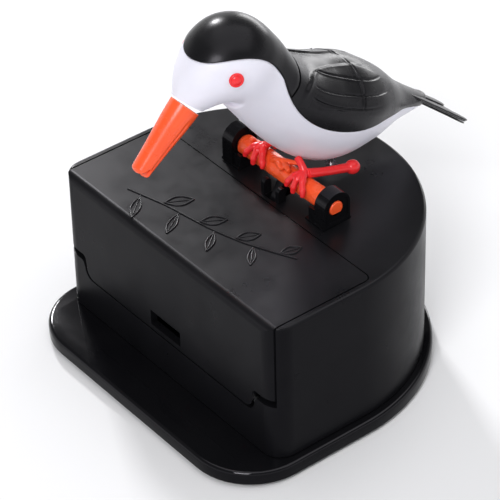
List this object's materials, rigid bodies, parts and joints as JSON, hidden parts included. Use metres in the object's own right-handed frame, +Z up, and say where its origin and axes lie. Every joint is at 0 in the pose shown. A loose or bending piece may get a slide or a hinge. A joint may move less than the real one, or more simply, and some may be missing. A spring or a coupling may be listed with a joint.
{
  "type": "bird toothpick dispenser",
  "caption": "Tabletop toothpick box with a spring-returned bird on a perch that bows its beak to a pick window; the front cover flips down for refilling.",
  "frame": {"origin": "centre of the overall box at the table surface", "axes": "-Y is the front that the bird faces, +Y towards its tail, +X along the perch, +Z up"},
  "size_m": [0.0904, 0.1116, 0.1018],
  "materials": {
    "satin_black_plastic": "satin",
    "gloss_black_plastic": "gloss",
    "plumage_black": "satin",
    "plumage_white": "satin",
    "orange_plastic": "gloss",
    "red_plastic": "gloss",
    "steel": "bright zinc",
    "rubber": "matte"
  },
  "bodies": {
    "housing": {"base_plate": "gloss_black_plastic", "housing_shell": "satin_black_plastic", "toothpick_hopper": "satin_black_plastic", "return_spring": "steel", "cover_pivot_pin_left": "steel", "cover_pivot_pin_right": "steel", "perch_bracket_left": "gloss_black_plastic", "perch_bracket_right": "gloss_black_plastic", "base_screw_1": "steel", "base_screw_2": "steel", "base_screw_3": "steel", "base_screw_4": "steel", "rubber_foot_1": "rubber", "rubber_foot_2": "rubber", "rubber_foot_3": "rubber", "rubber_foot_4": "rubber"},
    "cover": {"front_cover": "satin_black_plastic"},
    "slider": {"feed_slider": "satin_black_plastic"},
    "bird": {"perch": "orange_plastic", "feed_lever": "satin_black_plastic", "foot_left": "red_plastic", "foot_right": "red_plastic", "belly_shell": "plumage_white", "head_cap": "plumage_black", "back_shell": "plumage_black", "beak": "orange_plastic", "eye_left": "red_plastic", "eye_right": "red_plastic", "belly_screw_1": "steel", "belly_screw_2": "steel"}
  },
  "joints": [
    {"name": "bird_bow", "type": "hinge", "parent": "housing", "child": "bird", "pos_m": [0, -0.00445, 0.0501], "axis": [1, 0, 0], "range_deg": [0, 57], "stiffness_Nm_per_rad": 0.012, "springref_deg": -51.57},
    {"name": "cover_flip", "type": "hinge", "parent": "housing", "child": "cover", "pos_m": [0, -0.04105, 0.0185], "axis": [1, 0, 0], "range_deg": [0, 90]},
    {"name": "feed_slide", "type": "slide", "parent": "housing", "child": "slider", "axis": [0, 1, 0], "range_m": [0, 0.0106], "deforming": ["return_spring"]}
  ],
  "couplings": [
    {"joint": "feed_slide", "follows": "bird_bow", "m_per_rad": 0.010552}
  ]
}
